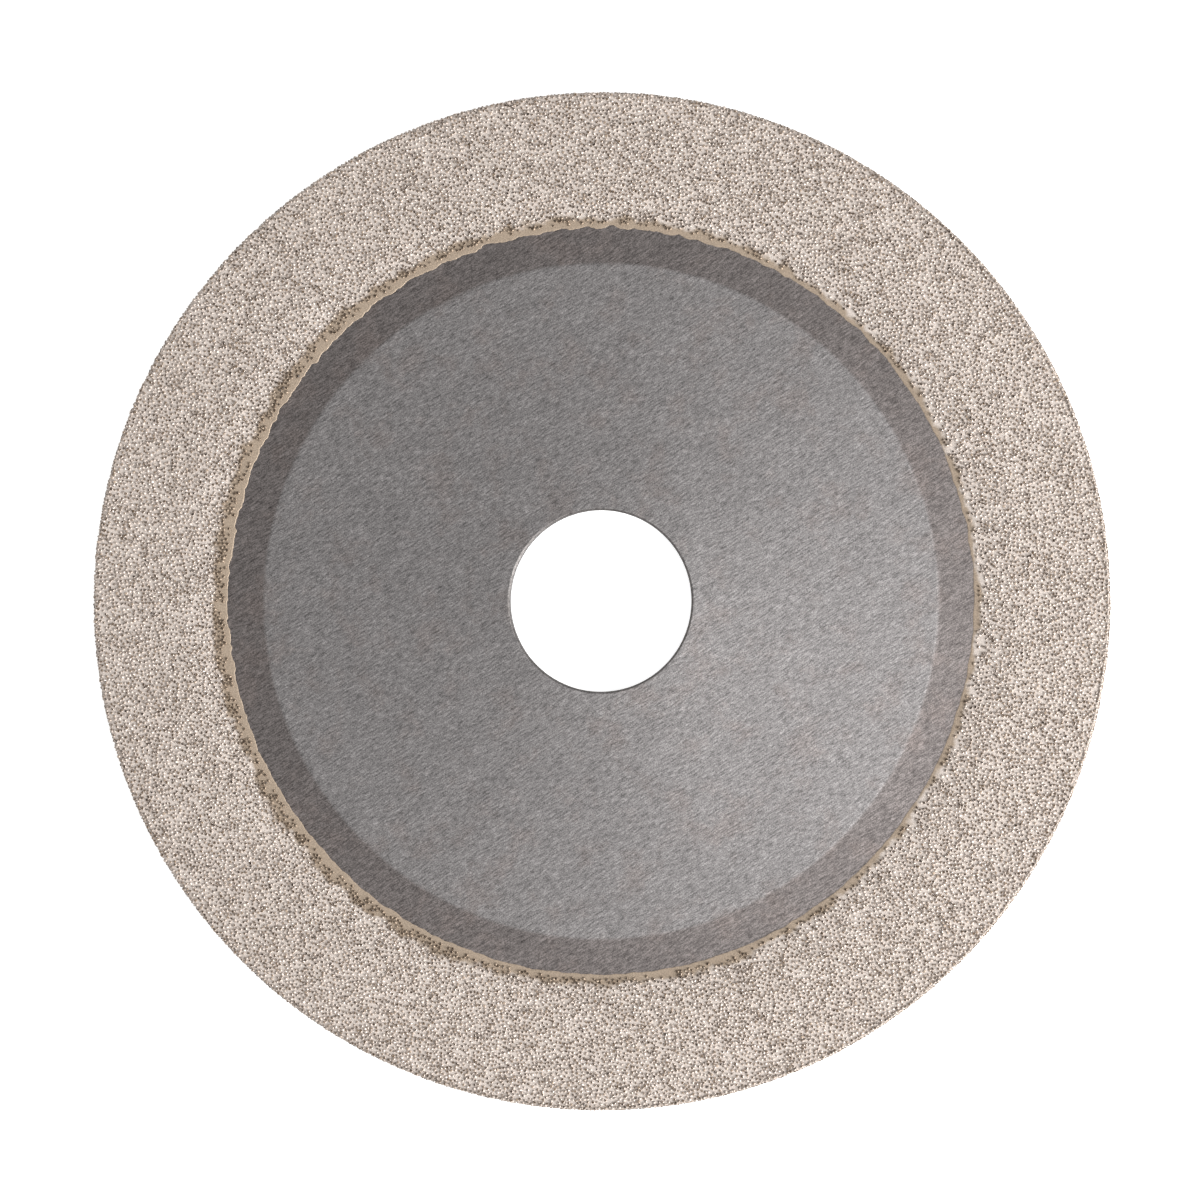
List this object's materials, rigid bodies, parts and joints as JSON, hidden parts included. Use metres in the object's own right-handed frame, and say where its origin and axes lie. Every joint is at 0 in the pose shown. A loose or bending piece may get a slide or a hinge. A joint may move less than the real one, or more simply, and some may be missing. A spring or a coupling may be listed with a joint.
{
  "type": "diamond grinding wheel",
  "caption": "Flat steel grinding wheel with a bare clamping land round its arbor bore and a vacuum-brazed diamond coat on the outer band and rim.",
  "frame": {"origin": "centre of the arbor bore, half way through the wheel's thickness", "axes": "+Z along the bore's axis, out of the front face, which looks up; +X and +Y lie across the wheel"},
  "size_m": [0.125, 0.125, 0.0032],
  "materials": {
    "steel": "fine diagonal grinding marks, browner where the furnace heat tinted it beside the coat",
    "braze": "matte nickel braze, tan and bare along its uneven inner edge and paler between the crystals",
    "diamond_grit": "small dark brown crystals, each in a mound of pale cream braze; the colour given is what the two look like together from a distance"
  },
  "bodies": {
    "root": {"steel_core": "steel", "front_braze_layer": "braze", "back_braze_layer": "braze", "rim_braze_layer": "braze", "front_diamond_grit": "diamond_grit", "back_diamond_grit": "diamond_grit", "rim_diamond_grit": "diamond_grit"}
  },
  "joints": []
}
